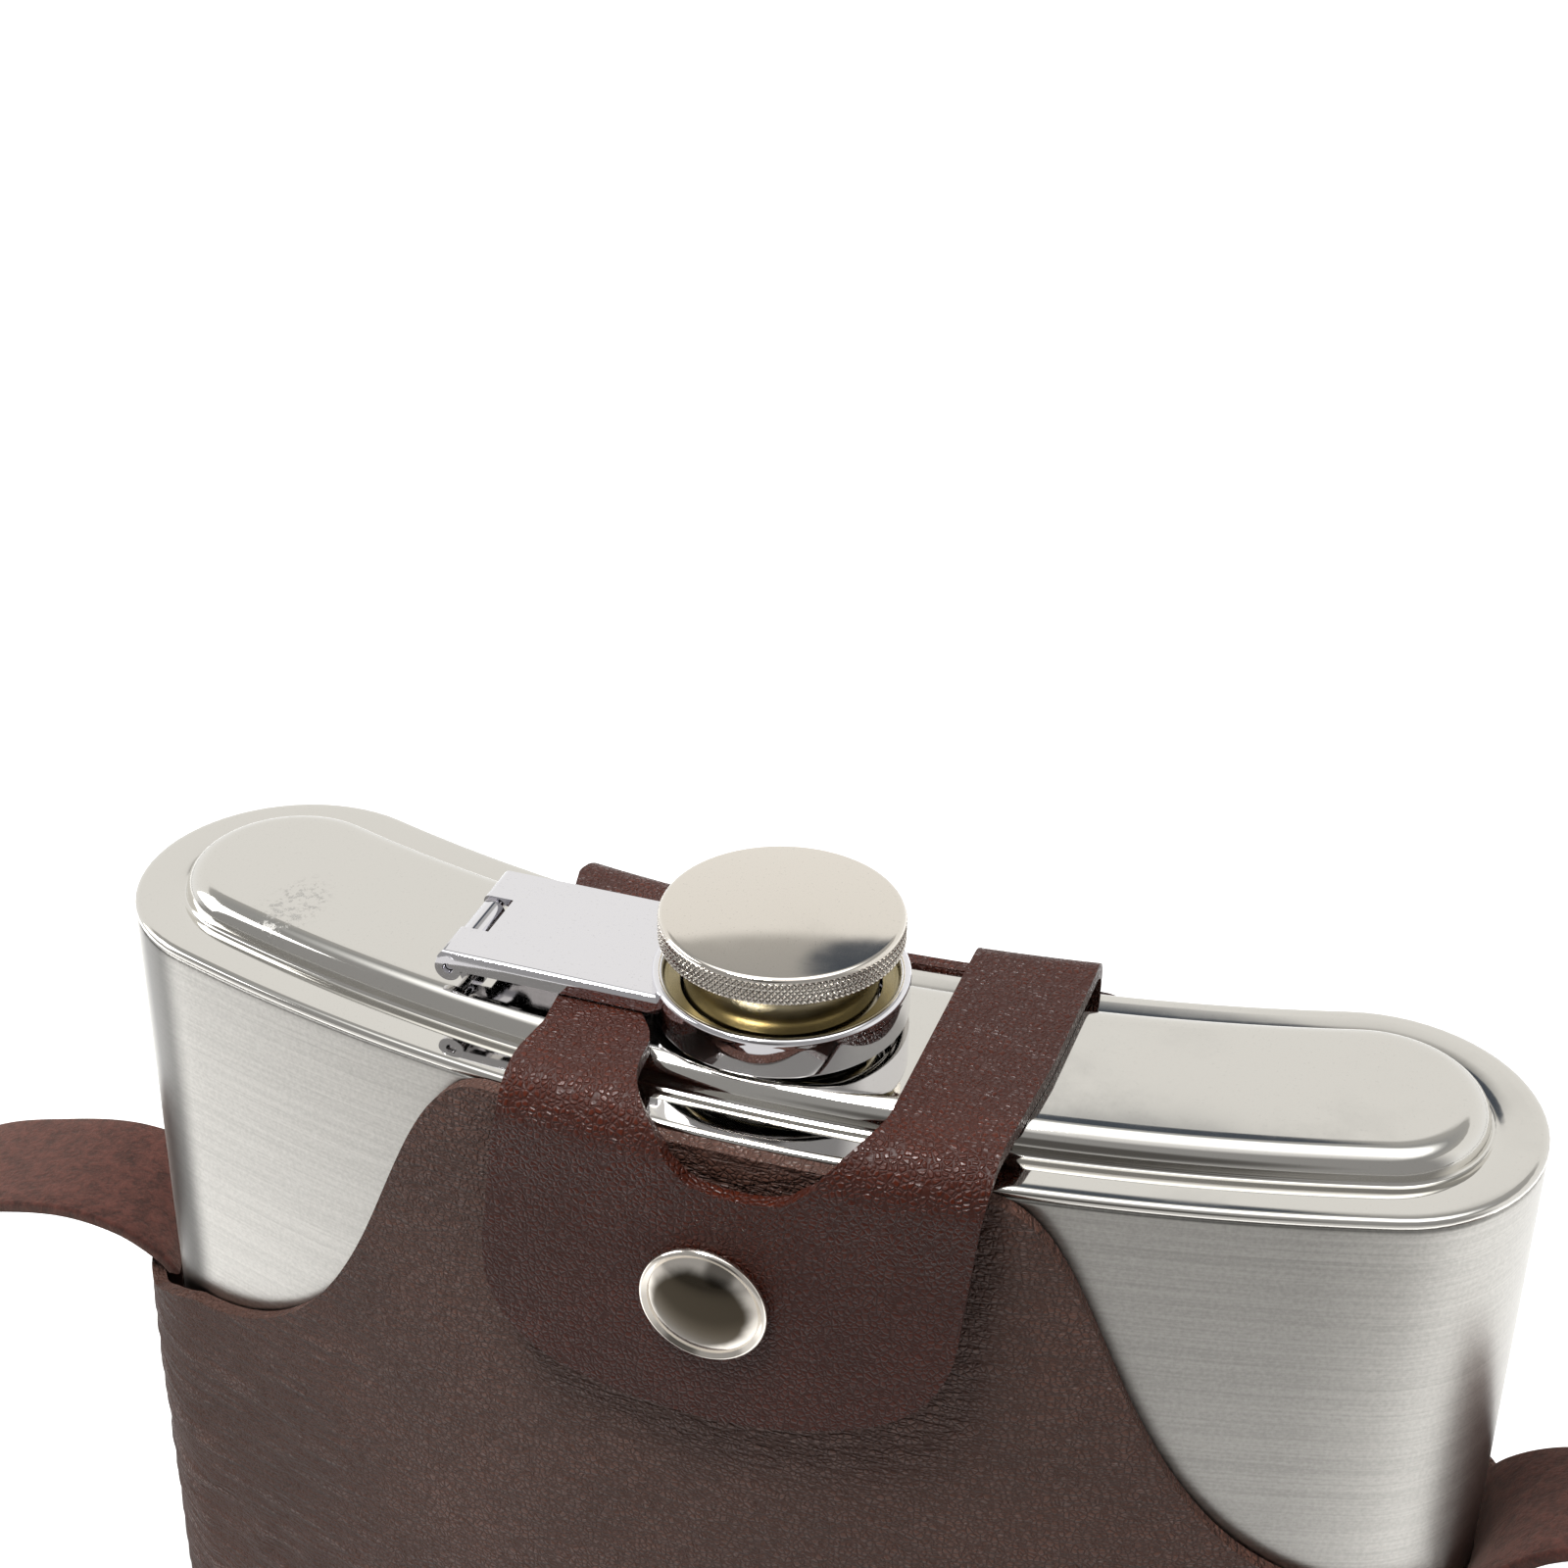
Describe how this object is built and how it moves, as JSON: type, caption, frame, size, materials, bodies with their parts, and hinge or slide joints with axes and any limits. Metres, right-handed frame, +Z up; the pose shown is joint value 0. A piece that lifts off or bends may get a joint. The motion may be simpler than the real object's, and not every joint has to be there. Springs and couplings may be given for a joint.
{
  "type": "canteen",
  "caption": "Curved stainless steel canteen in a leather sleeve with a snap flap, a captive screw cap on a hinged arm and a leather shoulder strap.",
  "frame": {"origin": "middle of the underside of the sleeve's base", "axes": "+Z up along the flask's walls and the neck, X across the width with the arm's hinge at -X, -Y out of the front with the snap flap"},
  "size_m": [0.3055, 0.1929, 0.1852],
  "materials": {
    "brushed_steel": "satin, brushed round the body",
    "polished_steel": "mirror polished",
    "chrome": "bright plated",
    "spring_steel": "plain spring steel",
    "nickel": "polished nickel plate",
    "liner": "matt silicone",
    "sleeve_leather": "semi-gloss, creased grain",
    "flap_leather": "gloss, pebbled grain",
    "strap_leather": "grain one side, suede the other",
    "thread": "waxed thread"
  },
  "bodies": {
    "flask": {"flask_wall": "brushed_steel", "flask_base": "brushed_steel", "lid": "polished_steel", "neck": "polished_steel", "hinge_bracket": "chrome", "sleeve_base": "sleeve_leather", "sleeve_front": "sleeve_leather", "sleeve_back": "flap_leather", "flap_bridge": "flap_leather", "snap_stud": "nickel", "snap_eyelet": "nickel", "back_stitches": "thread", "base_stitches": "thread", "strap_ends": "strap_leather", "strap_rivets": "nickel", "shoulder_strap": "strap_leather"},
    "arm": {"arm_plate": "chrome", "arm_ring": "chrome", "hinge_pin": "chrome"},
    "cap_carrier": {"retaining_clip": "spring_steel"},
    "cap": {"cap": "nickel", "cap_liner": "liner"},
    "flap_tab": {"flap_tab": "flap_leather", "snap_cap": "nickel", "snap_socket": "nickel"}
  },
  "joints": [
    {"name": "arm_swing", "type": "hinge", "parent": "flask", "child": "arm", "pos_m": [-0.0365, 0.002, 0.1734], "axis": [0, -1, 0], "range_deg": [0, 110]},
    {"name": "cap_rise", "type": "slide", "parent": "arm", "child": "cap_carrier", "axis": [0, 0, 1], "range_m": [0, 0.00185]},
    {"name": "cap_turn", "type": "hinge", "parent": "cap_carrier", "child": "cap", "pos_m": [0.0006, 0.0015, 0.1718], "axis": [0, 0, 1], "range_deg": [0, 540]},
    {"name": "flap_fold", "type": "hinge", "parent": "flask", "child": "flap_tab", "pos_m": [0, -0.0216, 0.1704], "axis": [-1, 0, 0], "range_deg": [0, 100]}
  ],
  "couplings": [
    {"joint": "cap_rise", "follows": "cap_turn", "m_per_rad": 0.000191}
  ]
}
